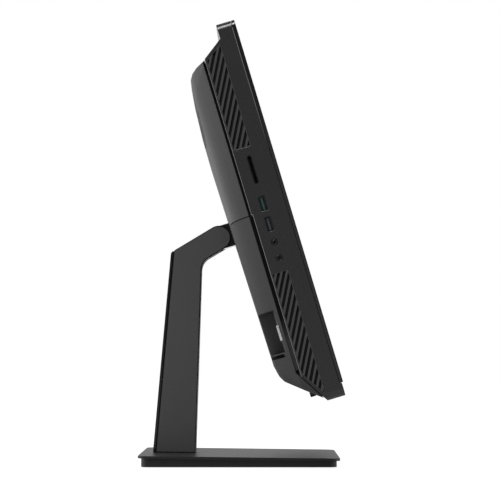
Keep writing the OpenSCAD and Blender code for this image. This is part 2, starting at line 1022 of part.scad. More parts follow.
// Ribs that close the gap along the sloping lower edge
module keel_ribs() {
    low = rear_rings[0];
    rim = rear_rings[1];
    rise = (rim[1] - low[1]) / (rim[0] - low[0]);
    t0 = low[0] + 1;
    t1 = rim_t + 0.6;
    both_sides()
        along_x(
            [
                [t0, low[1] + 1.8],
                [t1, low[1] + 1 + (t1 - low[0]) * rise],
                [t1, tongue_z0 + 3],
                [frame_low_t - 4, tongue_z0 + 3],
                [keel_t - 2, frame_wall + 1]
            ],
            keel_rib_x - 1,
            keel_rib_x + 1
        );
}

module cover_shell() {
    difference() {
        rear_form(0);
        difference() {
            rear_form(cover_wall);
            cover_rim();
        }
        frame_side();
    }
    cover_tongue();
    shoulder_lip();
    keel_ribs();
}

module hinge_window() {
    x = knuckle_x + 0.6;
    r = knuckle_r + 0.6;
    box(-x, x, 0, 2 * grow, hinge_h - r, hinge_h + r);
}

module cover_posts(x, z) {
    both_sides()
        rod_y(boss_r, core_t1, rear_t(z) - 0.7, x, z);
}

module cover_post_holes(x, z) {
    both_sides() {
        rod_y(3.2, screw_seat_t, 2 * grow, x, z);
        rod_y(1.6, 0, 2 * grow, x, z);
    }
}

// Air intake behind the blower
module intake_slots() {
    intersection() {
        rod_y(inlet_r + 8, heel_t - 20, 2 * grow, blower_x, blower_z);
        translate([blower_x, heel_t, blower_z])
            rotate([0, -slat_angle, 0])
                for (i = [-8:8])
                    translate([i * slat_pitch * 1.2, 0, 0])
                        cube([slot_w, 2 * grow, 3 * grow], center = true);
    }
}

module rear_cover_upper() {
    color("#4a4b4d")
        head_place()
            difference() {
                union() {
                    intersection() {
                        cover_shell();
                        box(-head_w, head_w, 0, 2 * grow, hinge_h + parting_gap / 2, head_h);
                    }
                    cover_posts(cover_up_x, cover_screw_up);
                }
                cover_post_holes(cover_up_x, cover_screw_up);
                hinge_window();
                intake_slots();
            }
}

module recess_block() {
    intersection() {
        rear_form(0);
        box(-head_w, -recess_x + recess_wall, recess_t - recess_wall, 2 * grow,
            recess_z0 - rib_t - groove_h - recess_wall, recess_z1 + recess_wall);
    }
}

module socket_holes() {
    c = 0.4;
    for (s = sockets)
        box(s[0] - s[1] / 2 - c, s[0] + s[1] / 2 + c, 0, 2 * grow,
            socket_z - s[2] / 2 - c, socket_z + s[2] / 2 + c);
}

module rear_cover_lower() {
    color("#3f4042")
        head_place()
            difference() {
                union() {
                    intersection() {
                        cover_shell();
                        box(-head_w, head_w, 0, 2 * grow, -grow, hinge_h - parting_gap / 2);
                    }
                    recess_block();
                    cover_posts(cover_low_x, cover_screw_low);
                }
                box(-head_w, -recess_x, recess_t, 2 * grow, recess_z0, recess_z1);
                box(-head_w, -recess_x, recess_t + 2, 2 * grow,
                    recess_z0 - rib_t - groove_h, recess_z0 - rib_t);
                socket_holes();
                cover_post_holes(cover_low_x, cover_screw_low);
                hinge_window();
            }
}

module cover_screws() {
    color("#8b8e92")
        head_place()
            for (p = [[cover_up_x, cover_screw_up], [cover_low_x, cover_screw_low]])
                both_sides() {
                    rod_y(2.9, screw_seat_t, screw_seat_t + 2, p[0], p[1]);
                    rod_y(1.5, core_t0 + 0.1, screw_seat_t + 1, p[0], p[1]);
                }
}

// Rubber pads under the lower rear edge
module rest_bumpers() {
    a = rear_rings[0];
    b = rear_rings[1];
    rise = (b[1] - a[1]) / (b[0] - a[0]);
    t0 = 26;
    t1 = 31;
    low = 6.2;
    color("#151516")
        head_place()
            both_sides()
                along_x(
                    [
                        [t0, low],
                        [t1, low],
                        [t1, a[1] + (t1 - a[0]) * rise - touch],
                        [t0, a[1] + (t0 - a[0]) * rise - touch]
                    ],
                    bumper_x - bumper_l / 2,
                    bumper_x + bumper_l / 2
                );
}

// Steel inside the head

module core_plate() {
    color("#7d8084")
        head_place()
            difference() {
                box(-core_w / 2, core_w / 2, core_t0, core_t1, core_z0, core_z1);
                for (x = [-1, 1], z = [0, 1])
                    along_y(0, grow)
                        translate([x * 30, core_z0 + 14 + z * (core_z1 - core_z0 - 64)])
                            round_rect(44, 0, 36, 6);
                for (p = [[cover_up_x, cover_screw_up], [cover_low_x, cover_screw_low]])
                    both_sides()
                        rod_y(1.5, 0, grow, p[0], p[1]);
            }
}

module mount_rods(r, y0, y1) {
    for (x = [-1, 1], z = [-1, 1])
        rod_y(r, y0, y1, x * screw_pitch / 2, hinge_h + z * screw_pitch / 2);
}

module hat_bracket() {
    x = hat_w / 2;
    color("#8b8e92")
        head_place()
            difference() {
                box(-x, x, core_t1, hat_t1, hinge_h - hat_h / 2, hinge_h + hat_h / 2);
                box(-x + hat_wall, x - hat_wall, core_t1 + hat_wall, hat_t0, 0, head_h);
                box(-x + hat_foot, x - hat_foot, 0, hat_t0, 0, head_h);
                mount_rods(mount_screw_r + 0.1, hat_t0 - 1, 2 * grow);
            }
}

module tilt_bracket() {
    color("#8b8e92")
        head_place()
            difference() {
                union() {
                    box(-45, 45, hat_t1, flange_t1, hinge_h - 45, hinge_h + 45);
                    box(-stem_x, stem_x, flange_t1 - 1, hinge_t, hinge_h - stem_h, hinge_h + stem_h);
                    rod_x(barrel_r, -knuckle_x, knuckle_x, hinge_t, hinge_h);
                }
                rod_x(shaft_r + shaft_play, -grow, grow, hinge_t, hinge_h);
                mount_rods(mount_screw_r + 0.1, 0, 2 * grow);
            }
}

module mount_screws() {
    color("#b9bcc0")
        head_place() {
            mount_rods(3.6, flange_t1, flange_t1 + 2.2);
            mount_rods(mount_screw_r, hat_t0 - 3, flange_t1 + 1);
        }
}

module hinge_cover() {
    color("#161718")
        head_place()
            difference() {
                union() {
                    box(-knuckle_x, knuckle_x, flange_t1, hinge_t,
                        hinge_h - knuckle_r, hinge_h + knuckle_r);
                    rod_x(knuckle_r, -knuckle_x, knuckle_x, hinge_t, hinge_h);
                }
                box(-stem_x - 0.2, stem_x + 0.2, 0, hinge_t,
                    hinge_h - stem_h - 0.2, hinge_h + stem_h + 0.2);
                rod_x(barrel_r + 0.2, -grow, grow, hinge_t, hinge_h);
            }
}

// Boards and cooling

module board_posts() {
    color("#c2a35a")
        head_place() {
            for (x = [main_x0 + 6, main_x1 - 6], z = [main_z0 + 6, main_z1 - 6])
                rod_y(post_r, core_t1, main_t0, x, z);
            for (z = [side_board_z0 + 5, side_board_z1 - 5])
                rod_y(post_r, core_t1, side_board_t0, side_post_x, z);
            for (x = [rear_post_x0, rear_post_x1], z = [rear_board_z0 + 4, rear_board_z1 - 4])
                rod_y(post_r, core_t1, rear_board_t0, x, z);
        }
}

module main_board() {
    color("#1f4a33")
        head_place()
            box(main_x0, main_x1, main_t0, main_t1, main_z0, main_z1);
}

module processor() {
    color("#b4b6b8")
        head_place() {
            box(cpu_x - cpu_socket_w / 2, cpu_x + cpu_socket_w / 2, main_t1, main_t1 + 2,
                cpu_z - cpu_socket_w / 2, cpu_z + cpu_socket_w / 2);
            box(cpu_x - cpu_w / 2, cpu_x + cpu_w / 2, main_t1 + 1, cpu_t1,
                cpu_z - cpu_w / 2, cpu_z + cpu_w / 2);
        }
}

module cold_plate() {
    color("#b87a4a")
        head_place()
            box(cpu_x - cold_w / 2, cpu_x + cold_w / 2, cpu_t1, cold_t1,
                cpu_z - cold_w / 2, cpu_z + cold_w / 2);
}

// Flattened pipe along a run of points in the plane of the screen
module pipe_path(pts) {
    for (i = [0:len(pts) - 2]) {
        d = pts[i + 1] - pts[i];
        translate((pts[i] + pts[i + 1]) / 2)
            rotate(atan2(d[1], d[0]))
                pill(norm(d) + pipe_w, pipe_w);
    }
}

module heat_pipe() {
    color("#b87a4a")
        head_place()
            along_y(cold_t1, cold_t1 + pipe_h)
                pipe_path([
                    [cpu_x + 14, cpu_z],
                    [pipe_x + pipe_bend, cpu_z],
                    [pipe_x, cpu_z + pipe_bend],
                    [pipe_x, fin_z0 + fin_h - 8]
                ]);
}

module fin_stack() {
    count = floor(fin_h / fin_pitch);
    color("#a9acb0")
        head_place() {
            for (i = [0:count])
                translate([0, 0, fin_z0 + i * fin_pitch])
                    box(fin_x0, fin_x1, core_t1 + 0.6, fin_t1, 0, fin_t);
            box(fin_x0, fin_x1, core_t1, core_t1 + 1, fin_z0, fin_z0 + count * fin_pitch + fin_t);
        }
}

module blower_housing() {
    x0 = blower_x - blower_w / 2;
    x1 = blower_x + blower_w / 2;
    z0 = blower_z - blower_w / 2;
    z1 = blower_z + blower_w / 2;
    color("#1d1e1f")
        head_place() {
            difference() {
                box(x0, x1, core_t1, core_t1 + blower_t, z0, z1);
                rod_y(chamber_r, core_t1 + blower_wall, core_t1 + blower_t - blower_wall,
                    blower_x, blower_z);
                box(x0 - 1, blower_x, core_t1 + blower_wall, core_t1 + blower_t - blower_wall,
                    blower_z - chamber_r + 2, blower_z + chamber_r - 2);
                rod_y(inlet_r, core_t1 + 2, grow, blower_x, blower_z);
            }
            rod_y(pin_r, core_t1 + 1, core_t1 + blower_t - 3, blower_x, blower_z);
        }
}

module blower_wheel() {
    t0 = core_t1 + blower_wall + 0.8;
    t1 = core_t1 + blower_t - blower_wall - 0.8;
    color("#2c2d2f")
        head_place()
            difference() {
                union() {
                    rod_y(hub_r, t0, t1, blower_x, blower_z);
                    rod_y(wheel_r - 1, t0, t0 + 1, blower_x, blower_z);
                    for (i = [0:blade_count - 1])
                        translate([blower_x, t0, blower_z])
                            rotate([0, i * 360 / blade_count, 0])
                                translate([hub_r - 1, 0, 0])
                                    rotate([0, 20, 0])
                                        cube([wheel_r - hub_r - 2, t1 - t0, blade_t]);
                }
                rod_y(pin_r + 0.05, 0, 2 * grow, blower_x, blower_z);
            }
}

module memory_modules() {
    color("#20513a")
        head_place()
            for (i = [0, 1])
                translate([main_x0 + 12, main_t1, main_z0 + 10 + i * memory_pitch]) {
                    cube([memory_l, 3.4, 5]);
                    translate([0.2, card_lift, 0])
                        cube([memory_l - 0.4, 1, memory_d]);
                    for (j = [0:3])
                        translate([6 + j * 15, 3, 12])
                            cube([11, 1, 12]);
                }
}

module solid_state_drive() {
    color("#1c3f55")
        head_place()
            translate([stick_x, main_t1, main_z0 + 6]) {
                cube([stick_w, 3, 4]);
                translate([0, card_lift, 0])
                    cube([stick_w, 0.8, stick_l]);
                translate([3, card_lift + 0.6, 10])
                    cube([stick_w - 6, 1.4, 18]);
            }
}

module wireless_card() {
    color("#1c3f55")
        head_place()
            translate([radio_x, main_t1, main_z0 + 16]) {
                cube([radio_w, 3, 4]);
                translate([0, card_lift, 0])
                    cube([radio_w, 0.8, radio_l]);
                translate([3, card_lift + 0.6, 8])
                    cube([radio_w - 6, 1.4, 16]);
            }
}

// Side sockets

module side_board() {
    color("#1f4a33")
        head_place()
            box(side_board_x0, side_board_x1, side_board_t0, side_board_t1, side_board_z0, side_board_z1);
}

module card_reader() {
    color("#a4a7ab")
        head_place()
            difference() {
                box(xl + frame_wall + 0.2, xl + 30, side_board_t1, port_t + 2.6,
                    card_z - card_w / 2 - 2.2, card_z + card_w / 2 + 2.2);
                box(xl, xl + 26, port_t - card_gap / 2, port_t + card_gap / 2,
                    card_z - card_w / 2, card_z + card_w / 2);
            }
}

usb_room = 12;
usb_front = 0.4;

module usb_shell(z) {
    color("#b9bcc0")
        head_place()
            difference() {
                box(xl + usb_front, xl + 18, port_t - usb_h / 2, port_t + usb_h / 2,
                    z - usb_w / 2, z + usb_w / 2);
                box(xl, xl + usb_front + usb_room,
                    port_t - usb_h / 2 + usb_wall, port_t + usb_h / 2 - usb_wall,
                    z - usb_w / 2 + usb_wall, z + usb_w / 2 - usb_wall);
            }
}

module usb_tongue(z) {
    head_place()
        box(xl + usb_front + 1.2, xl + usb_front + usb_room,
            port_t - 0.5, port_t + 1.1, z - 5.6, z + 5.6);
}

module usb_upper_shell() {
    usb_shell(usb_upper_z);
}

module usb_upper_tongue() {
    color("#1f7f78")
        usb_tongue(usb_upper_z);
}

module usb_lower_shell() {
    usb_shell(usb_lower_z);
}

module usb_lower_tongue() {
    color("#33507a")
        usb_tongue(usb_lower_z);
}

module jack_body(z) {
    nose = frame_wall + 0.2;
    color("#0f1011")
        head_place()
            difference() {
                union() {
                    rod_x(jack_r + 1.1, xl + 0.3, xl + nose + 1, port_t, z);
                    box(xl + nose, xl + 16.5, side_board_t1, port_t + 3, z - 3.4, z + 3.4);
                }
                rod_x(jack_r, xl - 1, xl + 0.3 + jack_depth, port_t, z);
            }
}

module headphone_jack() {
    jack_body(phones_z);
}

module microphone_jack() {
    jack_body(mic_z);
}

// Rear sockets

module rear_board() {
    color("#1f4a33")
        head_place()
            box(rear_board_x0, rear_board_x1, rear_board_t0, rear_board_t1, rear_board_z0, rear_board_z1);
}

module socket_box(x, w, h) {
    box(x - w / 2, x + w / 2, rear_board_t1, socket_t1, socket_z - h / 2, socket_z + h / 2);
}

module network_socket() {
    color("#c3c6c9")
        head_place()
            difference() {
                socket_box(lan_x, lan_w, lan_h);
                box(lan_x - 5.9, lan_x + 5.9, rear_board_t1 + 1.4, 2 * grow,
                    socket_z - 4.2, socket_z + 4.2);
                box(lan_x - 3, lan_x + 3, rear_board_t1 + 1.4, 2 * grow, socket_z - 5.8, socket_z);
            }
}

module rear_usb_pair() {
    color("#b9bcc0")
        head_place()
            difference() {
                socket_box(usb_pair_x, usb_pair_w, usb_w);
                for (s = [-1, 1])
                    translate([usb_pair_x + s * 3.7, 0, 0])
                        difference() {
                            box(-2.4, 2.4, rear_board_t1 + 2, 2 * grow, socket_z - 6.2, socket_z + 6.2);
                            box(0.2, 2, 0, socket_t1 - 1, socket_z - 5.6, socket_z + 5.6);
                        }
            }
}

module video_socket() {
    color("#b9bcc0")
        head_place()
            difference() {
                socket_box(video_x, video_w, video_h);
                difference() {
                    box(video_x - 2.2, video_x + 2.2, rear_board_t1 + 2, 2 * grow,
                        socket_z - 7, socket_z + 7);
                    box(video_x - 0.5, video_x + 0.5, 0, socket_t1 - 1, socket_z - 5.5, socket_z + 5.5);
                }
            }
}

module power_inlet() {
    color("#111213")
        head_place() {
            difference() {
                socket_box(inlet_x, inlet_w, inlet_w);
                rod_y(inlet_bore_r, rear_board_t1 + 1.5, 2 * grow, inlet_x, socket_z);
            }
            rod_y(0.9, rear_board_t1 + 1, socket_t1 - 1.5, inlet_x, socket_z);
        }
}

// Drive, speakers, button

module drive_caddy() {
    color("#8e9194")
        head_place()
            difference() {
                box(caddy_x0, caddy_x0 + drive_w + 3, core_t1, core_t1 + 7,
                    caddy_z0, caddy_z0 + drive_h + 3);
                box(caddy_x0 + 1.2, caddy_x0 + drive_w + 1.8, core_t1 + 1.2, grow,
                    caddy_z0 + 1.2, caddy_z0 + drive_h + 1.8);
                box(caddy_x0 + 20, caddy_x0 + drive_w - 17, 0, grow,
                    caddy_z0 + 16, caddy_z0 + drive_h - 13);
            }
}

module hard_drive() {
    color("#777a7e")
        head_place()
            translate([caddy_x0 + 1.5, core_t1 + 1.2, caddy_z0 + 1.5]) {
                cube([drive_w, drive_t, drive_h]);
                translate([34, drive_t - 1, 35])
                    rotate([-90, 0, 0])
                        cylinder(r = 26, h = 1.4);
            }
}

module speaker() {
    z = frame_wall;
    box(speaker_x0, speaker_x0 + speaker_l, chin_setback + frame_wall + 1, keel_t - 2, z, z + 16);
    for (i = [0, 1])
        rod_z(5, z + 15, z + 18, speaker_x0 + 18 + i * 50, button_t);
}

module speaker_right() {
    color("#17181a")
        head_place()
            speaker();
}

module speaker_left() {
    color("#17181a")
        head_place()
            mirror([1, 0, 0])
                speaker();
}

module power_button() {
    z = frame_wall + 0.1;
    color("#26272a")
        head_place()
            translate([button_x, button_t, 0]) {
                along_z(-button_out, z + 0.5)
                    pill(button_l, button_w);
                along_z(z, z + flange_h)
                    pill(button_l + 3, button_w + 2.4);
            }
}

module switch_board() {
    z = frame_wall + 0.1 + flange_h + button_travel + 0.15;
    color("#1f4a33")
        head_place()
            translate([button_x, button_t, 0]) {
                rod_z(1.8, z, z + 2, 0, 0);
                box(-3.2, 3.2, -3.2, 3.2, z + 0.6, z + 2.4);
                box(-14, 14, -4, 4, z + 2.2, z + 2.2 + board_t);
                for (x = [-1, 1])
                    box(x * 12.5 - 1.5, x * 12.5 + 1.5, -4, 4, frame_wall, z + 3);
            }
}

base_cover();
base_tray();
base_weight();
base_feet();
base_screws();
neck_shell();
neck_back_strip();
neck_spine();
hinge_shaft();
friction_washers();
front_bezel();
screen_glass();
light_guide();
screen_tray();
screen_rails();
webcam_module();
side_frame();
left_grilles();
right_grilles();
left_dust_screens();
right_dust_screens();
rear_cover_upper();
rear_cover_lower();
cover_screws();
rest_bumpers();
core_plate();
hat_bracket();
tilt_bracket();
mount_screws();
hinge_cover();
board_posts();
main_board();
processor();
cold_plate();
heat_pipe();
fin_stack();
blower_housing();
blower_wheel();
memory_modules();
solid_state_drive();
wireless_card();
side_board();
card_reader();
usb_upper_shell();
usb_upper_tongue();
usb_lower_shell();
usb_lower_tongue();
headphone_jack();
microphone_jack();
rear_board();
network_socket();
rear_usb_pair();
video_socket();
power_inlet();
hard_drive();
drive_caddy();
speaker_left();
speaker_right();
power_button();
switch_board();
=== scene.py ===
import json
import math

import bpy
from mathutils import Matrix, Vector

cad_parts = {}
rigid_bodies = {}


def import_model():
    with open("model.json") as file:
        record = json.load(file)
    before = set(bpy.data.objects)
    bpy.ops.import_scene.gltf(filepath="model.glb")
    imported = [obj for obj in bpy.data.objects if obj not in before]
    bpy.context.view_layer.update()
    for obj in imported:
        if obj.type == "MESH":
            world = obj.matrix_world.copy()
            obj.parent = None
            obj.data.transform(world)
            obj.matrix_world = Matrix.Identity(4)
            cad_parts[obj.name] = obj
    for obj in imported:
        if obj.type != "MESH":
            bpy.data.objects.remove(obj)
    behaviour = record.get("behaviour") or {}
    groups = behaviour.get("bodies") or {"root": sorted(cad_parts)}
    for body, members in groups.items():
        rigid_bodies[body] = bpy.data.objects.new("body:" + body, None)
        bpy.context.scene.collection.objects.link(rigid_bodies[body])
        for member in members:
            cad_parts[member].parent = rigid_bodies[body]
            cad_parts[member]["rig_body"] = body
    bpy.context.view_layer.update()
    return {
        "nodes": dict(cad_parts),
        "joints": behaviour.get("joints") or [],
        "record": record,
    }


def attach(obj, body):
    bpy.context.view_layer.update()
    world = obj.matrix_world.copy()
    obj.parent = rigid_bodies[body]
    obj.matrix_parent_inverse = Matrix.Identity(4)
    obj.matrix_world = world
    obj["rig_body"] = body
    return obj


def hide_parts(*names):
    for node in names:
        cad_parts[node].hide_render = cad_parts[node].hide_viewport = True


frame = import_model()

mm = 0.001
nodes = frame["nodes"]
joints = {joint["name"]: joint for joint in frame["joints"]}
slotOf = {part["node"]: part["material_slot"] for part in frame["record"]["subparts"]}

# the head stood upright: x across, y depth from the screen side, z up the screen, in millimetres
head = {"hingeDepth": 70.52, "hingeHeight": 178.4, "halfWide": 255.0, "rearUpper": 35.8, "rearLower": 34.7,
        "bezelBack": 3.4, "portDepth": 22.8}
# at rest it leans back; the power button moves along the screen, so its axis gives the lean
pressAxis = joints["power_press"]["axis"]
headLean = math.atan2(pressAxis[1], pressAxis[2])
hinge = Vector(joints["head_tilt"]["pos_m"])
headPlace = (Matrix.Translation(hinge) @ Matrix.Rotation(-headLean, 4, "X")
             @ Matrix.Translation((0, -head["hingeDepth"] * mm, -head["hingeHeight"] * mm)))
headBack = headPlace.inverted()


# sRGB hex to linear, by the sRGB curve
def linear(hexColour):
    parts = [int(hexColour[i:i + 2], 16) / 255 for i in (1, 3, 5)]
    return tuple(c / 12.92 if c <= 0.04045 else ((c + 0.055) / 1.055) ** 2.4 for c in parts) + (1.0,)


# settings go to the node's sockets, or else to its own properties
def addNode(tree, kind, settings=None, links=None):
    node = tree.nodes.new(kind)
    for key, value in (settings or {}).items():
        if isinstance(key, int) or key in node.inputs:
            node.inputs[key].default_value = value
        else:
            setattr(node, key, value)
    for key, source in (links or {}).items():
        tree.links.new(source, node.inputs[key])
    return node


def startMaterial(name):
    material = bpy.data.materials.new(name)
    material.use_nodes = True
    tree = material.node_tree
    shader = tree.nodes["Principled BSDF"]
    place = addNode(tree, "ShaderNodeTexCoord")
    return material, tree, shader, place.outputs["Object"]


# camera: far away on the user's left, level with the foot of the head
camera = {"place": (-2.576, -0.0221, 0.1146), "aim": (2.576, 0.012, 0.097), "lens": 186.7, "sensor": 36,
          "reach": 50}
bpy.ops.object.camera_add(location=camera["place"])
eye = bpy.context.object
eye.rotation_euler = Vector(camera["aim"]).to_track_quat("-Z", "Y").to_euler()
eye.data.lens = camera["lens"]
eye.data.sensor_width = camera["sensor"]
eye.data.clip_end = camera["reach"]
bpy.context.scene.camera = eye

# studio: white to the camera, but mirrored in the object it is dark behind the camera and overhead;
# the spans say where along x and z the light changes
studio = {"cameraSide": 0.18, "backSide": 1.0, "sideSpan": (-0.95, 0.25), "overhead": 0.3,
          "roofSpan": (-0.05, 0.55), "ambient": 0.6}
world = bpy.data.worlds.new("studio")
bpy.context.scene.world = world
world.use_nodes = True
tree = world.node_tree
tree.nodes.clear()
ray = addNode(tree, "ShaderNodeLightPath")
away = addNode(tree, "ShaderNodeTexCoord")
split = addNode(tree, "ShaderNodeSeparateXYZ", links={"Vector": away.outputs["Generated"]})
tent = addNode(tree, "ShaderNodeMapRange",
               {"interpolation_type": "SMOOTHSTEP",
                "From Min": studio["sideSpan"][0], "From Max": studio["sideSpan"][1],
                "To Min": studio["cameraSide"], "To Max": studio["backSide"]},
               {"Value": split.outputs["X"]})
roof = addNode(tree, "ShaderNodeMapRange",
               {"interpolation_type": "SMOOTHSTEP",
                "From Min": studio["roofSpan"][0], "From Max": studio["roofSpan"][1],
                "To Min": 1.0, "To Max": studio["overhead"]},
               {"Value": split.outputs["Z"]})
room = addNode(tree, "ShaderNodeMath", {"operation": "MULTIPLY"}, {0: tent.outputs[0], 1: roof.outputs[0]})
glossy = addNode(tree, "ShaderNodeMath", {"operation": "MULTIPLY"},
                 {0: ray.outputs["Is Glossy Ray"], 1: room.outputs[0]})
seen = addNode(tree, "ShaderNodeMath", {"operation": "MAXIMUM"},
               {0: ray.outputs["Is Camera Ray"], 1: ray.outputs["Is Transmission Ray"]})
shown = addNode(tree, "ShaderNodeMath", {"operation": "MAXIMUM"}, {0: seen.outputs[0], 1: glossy.outputs[0]})
soft = addNode(tree, "ShaderNodeMath", {"operation": "MULTIPLY", 1: studio["ambient"]},
               {0: ray.outputs["Is Diffuse Ray"]})
light = addNode(tree, "ShaderNodeMath", {"operation": "MAXIMUM"}, {0: shown.outputs[0], 1: soft.outputs[0]})
sky = addNode(tree, "ShaderNodeBackground", {"Color": (1, 1, 1, 1)}, {"Strength": light.outputs[0]})
addNode(tree, "ShaderNodeOutputWorld", links={"Surface": sky.outputs[0]})

# soft boxes, all turned to the neck: above the camera's side, behind and in front
softBoxAim = (0, 0, 0.2)
softBoxes = [
    {"place": (-1.2, 0.48, 1.75), "size": (0.3, 1.2), "watts": 20},
    {"place": (0.2, 1.7, 0.45), "size": (0.8, 0.8), "watts": 5},
    {"place": (0.2, -1.8, 0.9), "size": (0.8, 0.8), "watts": 9},
]
for softBox in softBoxes:
    bpy.ops.object.light_add(type="AREA", location=softBox["place"])
    lamp = bpy.context.object
    lamp.data.shape = "RECTANGLE"
    lamp.data.size, lamp.data.size_y = softBox["size"]
    lamp.data.energy = softBox["watts"]
    lamp.rotation_euler = (Vector(softBoxAim) - lamp.location).to_track_quat("-Z", "Y").to_euler()

# floor: a paper sweep, nearly white to the camera and still taking the object's shadow;
# mirrored in the object it is dark towards the camera and grows light along "slope"
sweep = {"size": 12.0, "paper": 0.8, "shadow": 0.3, "glow": 0.86, "nearGlow": 0.18, "slope": (1, 0.6, 0),
         "span": (0.2, 1.5)}
bpy.ops.object.select_all(action="DESELECT")
bpy.ops.mesh.primitive_plane_add(size=sweep["size"], location=(0, 0, 0))
floor = bpy.context.object
floor.name = "floor"
paper, tree, shader, place = startMaterial("white paper sweep")
tree.nodes.remove(shader)
paperRay = addNode(tree, "ShaderNodeLightPath")
flat = addNode(tree, "ShaderNodeBsdfDiffuse", {"Color": (sweep["paper"],) * 3 + (1,)})
thin = addNode(tree, "ShaderNodeBsdfDiffuse", {"Color": (sweep["shadow"],) * 3 + (1,)})
along = addNode(tree, "ShaderNodeVectorMath", {"operation": "DOT_PRODUCT", 1: sweep["slope"]}, {0: place})
mirrored = addNode(tree, "ShaderNodeMapRange",
                   {"From Min": sweep["span"][0], "From Max": sweep["span"][1],
                    "To Min": sweep["nearGlow"], "To Max": sweep["glow"]},
                   {"Value": along.outputs["Value"]})
paperLevel = addNode(tree, "ShaderNodeMix", {"data_type": "FLOAT", 3: sweep["glow"]},
                     {0: paperRay.outputs["Is Camera Ray"], 2: mirrored.outputs["Result"]})
glow = addNode(tree, "ShaderNodeEmission", links={"Strength": paperLevel.outputs[0]})
lit = addNode(tree, "ShaderNodeAddShader", links={0: glow.outputs[0], 1: thin.outputs[0]})
paperSeen = addNode(tree, "ShaderNodeMath", {"operation": "MAXIMUM"},
                    {0: paperRay.outputs["Is Camera Ray"], 1: paperRay.outputs["Is Glossy Ray"]})
paperMix = addNode(tree, "ShaderNodeMixShader",
                   links={0: paperSeen.outputs[0], 1: flat.outputs[0], 2: lit.outputs[0]})
tree.links.new(paperMix.outputs[0], tree.nodes["Material Output"].inputs["Surface"])
floor.data.materials.append(paper)
bpy.context.scene.view_settings.view_transform = "Standard"
print("studio: camera,", len(softBoxes), "soft boxes, floor")

# what the moulded finishes share: blotch size and bump depth in millimetres, the part of the grain noise
# that is used, and the index of a styrene plastic
moulding = {"blotch": 70, "bump": 0.2, "grainSpan": (0.3, 0.7), "ior": 1.53, "shine": 0.5}


# ABS and its like, moulded in a spark-eroded tool: a fine grain breaks up the gloss, and wide blotches
# change the colour a little; the grain is drawn coarser than life so that it shows
def mouldedPlastic(look):
    material, tree, shader, place = startMaterial(look["name"])
    grain = addNode(tree, "ShaderNodeTexNoise", {"Scale": 1 / (look["grain"] * mm), "Detail": 3.0},
                    {"Vector": place})
    blotch = addNode(tree, "ShaderNodeTexNoise", {"Scale": 1 / (moulding["blotch"] * mm), "Detail": 2.0},
                     {"Vector": place})
    tint = addNode(tree, "ShaderNodeMix",
                   {"data_type": "RGBA", 6: linear(look["dark"]), 7: linear(look["light"])},
                   {0: blotch.outputs["Fac"]})
    if "fade" in look:  # going down from "high" to "low", the colour gives way to another one
        split = addNode(tree, "ShaderNodeSeparateXYZ", links={"Vector": place})
        height = addNode(tree, "ShaderNodeMapRange",
                         {"From Min": look["fade"]["low"] * mm, "From Max": look["fade"]["high"] * mm},
                         {"Value": split.outputs["Z"]})
        tint = addNode(tree, "ShaderNodeMix", {"data_type": "RGBA", 6: linear(look["fade"]["to"])},
                       {0: height.outputs["Result"], 7: tint.outputs[2]})
    gloss = addNode(tree, "ShaderNodeMapRange",
                    {"From Min": moulding["grainSpan"][0], "From Max": moulding["grainSpan"][1],
                     "To Min": look["rough"][0], "To Max": look["rough"][1]},
                    {"Value": grain.outputs["Fac"]})
    relief = addNode(tree, "ShaderNodeBump", {"Strength": look["relief"], "Distance": moulding["bump"] * mm},
                     {"Height": grain.outputs["Fac"]})
    tree.links.new(tint.outputs[2], shader.inputs["Base Color"])
    tree.links.new(gloss.outputs["Result"], shader.inputs["Roughness"])
    tree.links.new(relief.outputs["Normal"], shader.inputs["Normal"])
    shader.inputs["IOR"].default_value = moulding["ior"]
    shader.inputs["Specular IOR Level"].default_value = look.get("shine", moulding["shine"])
    return material


scratchSpan = (0.25, 0.75)  # the part of the scratch noise that is used


# sheet, bar and plated metal: long scratches from rolling or turning stretch the gloss one way; a painted
# highlight swaps some of the metal's mirror for its pale colour, lit diffusely
def workedMetal(look):
    material, tree, shader, place = startMaterial(look["name"])
    lay = addNode(tree, "ShaderNodeMapping", {"Scale": look["lay"]}, {"Vector": place})
    scratch = addNode(tree, "ShaderNodeTexNoise", {"Scale": 1 / (look["scratch"] * mm), "Detail": 4.0},
                      {"Vector": lay.outputs["Vector"]})
    tint = addNode(tree, "ShaderNodeMix",
                   {"data_type": "RGBA", 6: linear(look["dark"]), 7: linear(look["light"])},
                   {0: scratch.outputs["Fac"]})
    gloss = addNode(tree, "ShaderNodeMapRange",
                    {"From Min": scratchSpan[0], "From Max": scratchSpan[1],
                     "To Min": look["rough"][0], "To Max": look["rough"][1]},
                    {"Value": scratch.outputs["Fac"]})
    tree.links.new(tint.outputs[2], shader.inputs["Base Color"])
    tree.links.new(gloss.outputs["Result"], shader.inputs["Roughness"])
    # the painted highlight turns part of the metal into a pale diffuse colour
    shader.inputs["Metallic"].default_value = 1.0 - look.get("bloom", 0.0)
    return material


